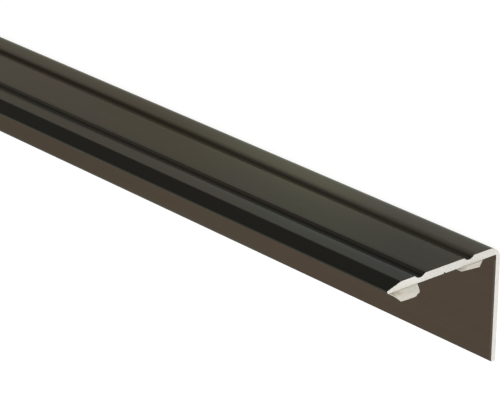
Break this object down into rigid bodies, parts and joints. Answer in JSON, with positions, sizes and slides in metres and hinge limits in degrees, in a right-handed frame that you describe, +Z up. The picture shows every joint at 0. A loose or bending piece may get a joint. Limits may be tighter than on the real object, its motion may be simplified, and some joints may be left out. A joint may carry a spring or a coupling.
{
  "type": "stair nosing",
  "caption": "Self-adhesive angle profile for the front edge of a stair tread, grooved on top, with adhesive strips under the tread flange.",
  "frame": {"origin": "under the middle of the whole length and of the riser flange, on the floor", "axes": "X along the length, with the protruding strip ends at +X; +Y the way the walking face looks; +Z up, from the riser's back to the tread's nose"},
  "size_m": [0.9022, 0.02, 0.0245],
  "materials": {
    "bronze_anodised": "bronze anodised, satin, with bare sawn ends",
    "adhesive": "matt foam tape with a paper liner"
  },
  "bodies": {
    "root": {"nosing_profile": "bronze_anodised", "front_adhesive_strip": "adhesive", "rear_adhesive_strip": "adhesive"}
  },
  "joints": []
}
